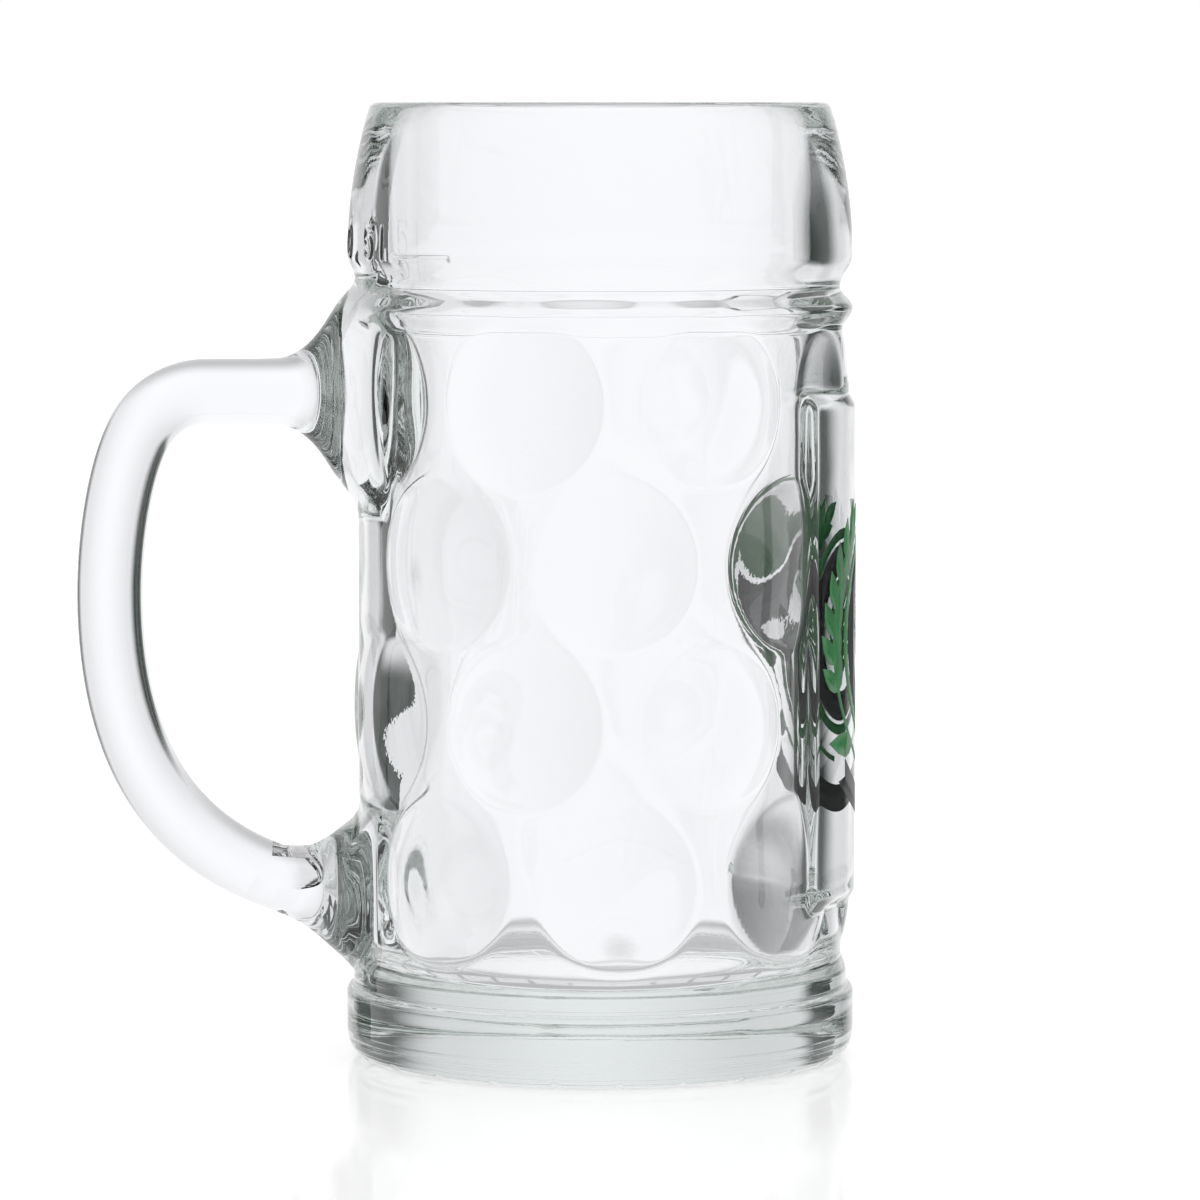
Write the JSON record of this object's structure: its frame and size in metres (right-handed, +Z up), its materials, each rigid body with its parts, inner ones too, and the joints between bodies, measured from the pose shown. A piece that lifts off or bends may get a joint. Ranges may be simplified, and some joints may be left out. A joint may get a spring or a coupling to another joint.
{
  "type": "beer mug",
  "caption": "Clear pressed-glass half-litre beer mug with staggered rows of raised round lenses, a smooth panel with a hop and barley print, a thick collar and a sealed-on loop handle.",
  "frame": {"origin": "middle of the whole mug's box, on the surface that the mug stands on", "axes": "+Z up through the mouth, +X away from the handle towards the printed panel, -X towards the handle, Y across the handle"},
  "size_m": [0.1348, 0.0882, 0.165],
  "materials": {
    "glass": "clear, fire-polished pressed glass",
    "green_enamel": "opaque dark green enamel fired on to the glass, semi-gloss",
    "black_enamel": "opaque black enamel fired on to the glass, semi-gloss"
  },
  "bodies": {
    "root": {"mug_body": "glass", "handle": "glass", "print_ring_green": "green_enamel", "print_band_black": "black_enamel", "print_hop_green": "green_enamel", "print_barley_left": "green_enamel", "print_barley_right": "green_enamel", "print_ribbon_black": "black_enamel"}
  },
  "joints": []
}
